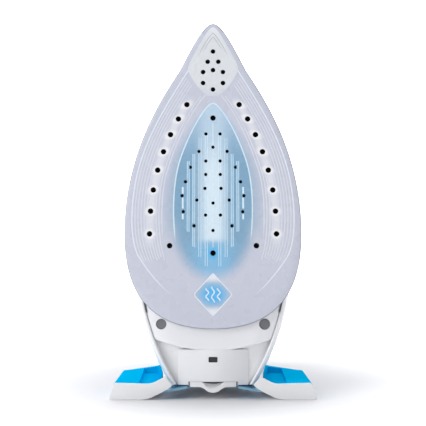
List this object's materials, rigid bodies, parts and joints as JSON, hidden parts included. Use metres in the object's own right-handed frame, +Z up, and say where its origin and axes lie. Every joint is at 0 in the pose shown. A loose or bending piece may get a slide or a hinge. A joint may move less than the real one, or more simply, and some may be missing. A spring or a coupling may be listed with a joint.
{
  "type": "steam iron",
  "caption": "Steam iron on its heel: pointed soleplate with steam holes, water tank, looped handle, pump buttons, dial, splayed heel feet.",
  "frame": {"origin": "centre of the ground under the standing iron, at the middle of its bounding box", "axes": "+Z up, towards the soleplate's tip; -Y the way the ironing face looks; +X to the right seen from the ironing face"},
  "size_m": [0.1518, 0.1664, 0.2797],
  "materials": {
    "sole_enamel": "satin",
    "cast_aluminium": "satin",
    "steel": "satin",
    "brass": "satin",
    "silicone": "matte",
    "white_shell": "gloss",
    "grey_plastic": "matte",
    "dark_plastic": "matte",
    "black_rubber": "matte",
    "blue_plastic": "gloss",
    "clear_blue": "gloss",
    "soft_grip": "matte",
    "ceramic": "matte",
    "board": "matte"
  },
  "bodies": {
    "housing": {"soleplate": "sole_enamel", "heating_base": "cast_aluminium", "heating_element": "steel", "element_terminals": "brass", "chamber_gasket": "silicone", "chamber_cover": "cast_aluminium", "cover_screws": "steel", "sole_skirt": "white_shell", "lower_housing": "white_shell", "heel_panel": "white_shell", "screw_plugs": "grey_plastic", "collector_housing": "white_shell", "collector_window": "dark_plastic", "collector_sleeve": "grey_plastic", "foot_left": "white_shell", "foot_right": "white_shell", "foot_cap_left": "blue_plastic", "foot_cap_right": "blue_plastic", "arch_plate": "clear_blue", "foot_pads": "black_rubber", "rear_column": "white_shell", "deck": "grey_plastic", "water_tank": "clear_blue", "filler_neck": "white_shell", "cap_pin": "steel", "handle_outer": "white_shell", "handle_inner": "grey_plastic", "grip_pad": "soft_grip", "steam_spring": "steel", "spray_spring": "steel", "pump_block": "grey_plastic", "spray_nozzle": "blue_plastic", "spray_pipe": "clear_blue", "thermostat": "ceramic", "thermal_fuse": "ceramic", "dial_bushing": "steel", "valve_bushing": "grey_plastic", "valve_seat": "brass", "indicator_lens": "clear_blue", "gland_socket": "grey_plastic", "terminal_block": "ceramic", "circuit_board": "board"},
    "dial": {"thermostat_dial": "white_shell", "dial_shaft": "brass"},
    "regulator": {"steam_regulator": "blue_plastic", "valve_rod": "steel"},
    "steam_pump": {"steam_button": "blue_plastic", "steam_piston": "grey_plastic"},
    "spray_pump": {"spray_button": "blue_plastic", "spray_piston": "grey_plastic"},
    "filler_lid": {"filler_cap": "white_shell", "filler_seal": "silicone"},
    "collector": {"calc_collector": "white_shell", "collector_seal": "black_rubber"},
    "gland": {"cord_gland": "dark_plastic"}
  },
  "joints": [
    {"name": "dial_turn", "type": "hinge", "parent": "housing", "child": "dial", "pos_m": [0, -0.01248, 0.09365], "axis": [0, 0.9903, -0.1392], "range_deg": [0, 270]},
    {"name": "regulator_turn", "type": "hinge", "parent": "housing", "child": "regulator", "pos_m": [0, 0.02528, 0.21861], "axis": [0, 0.9903, -0.1392], "range_deg": [-35, 35]},
    {"name": "steam_press", "type": "slide", "parent": "housing", "child": "steam_pump", "axis": [0, -0.9903, 0.1392], "range_m": [0, 0.004], "stiffness_N_per_m": 1200, "springref_m": -0.002},
    {"name": "spray_press", "type": "slide", "parent": "housing", "child": "spray_pump", "axis": [0, -0.9903, 0.1392], "range_m": [0, 0.004], "stiffness_N_per_m": 1200, "springref_m": -0.002},
    {"name": "cap_hinge", "type": "hinge", "parent": "housing", "child": "filler_lid", "pos_m": [0, 0.02033, 0.22789], "axis": [-1, 0, 0], "range_deg": [0, 100]},
    {"name": "collector_pull", "type": "slide", "parent": "housing", "child": "collector", "axis": [0, -0.1392, -0.9903], "range_m": [0, 0.045]},
    {"name": "gland_swivel", "type": "hinge", "parent": "housing", "child": "gland", "pos_m": [0, 0.04126, 0.03055], "axis": [1, 0, 0], "range_deg": [-14, 14]}
  ]
}
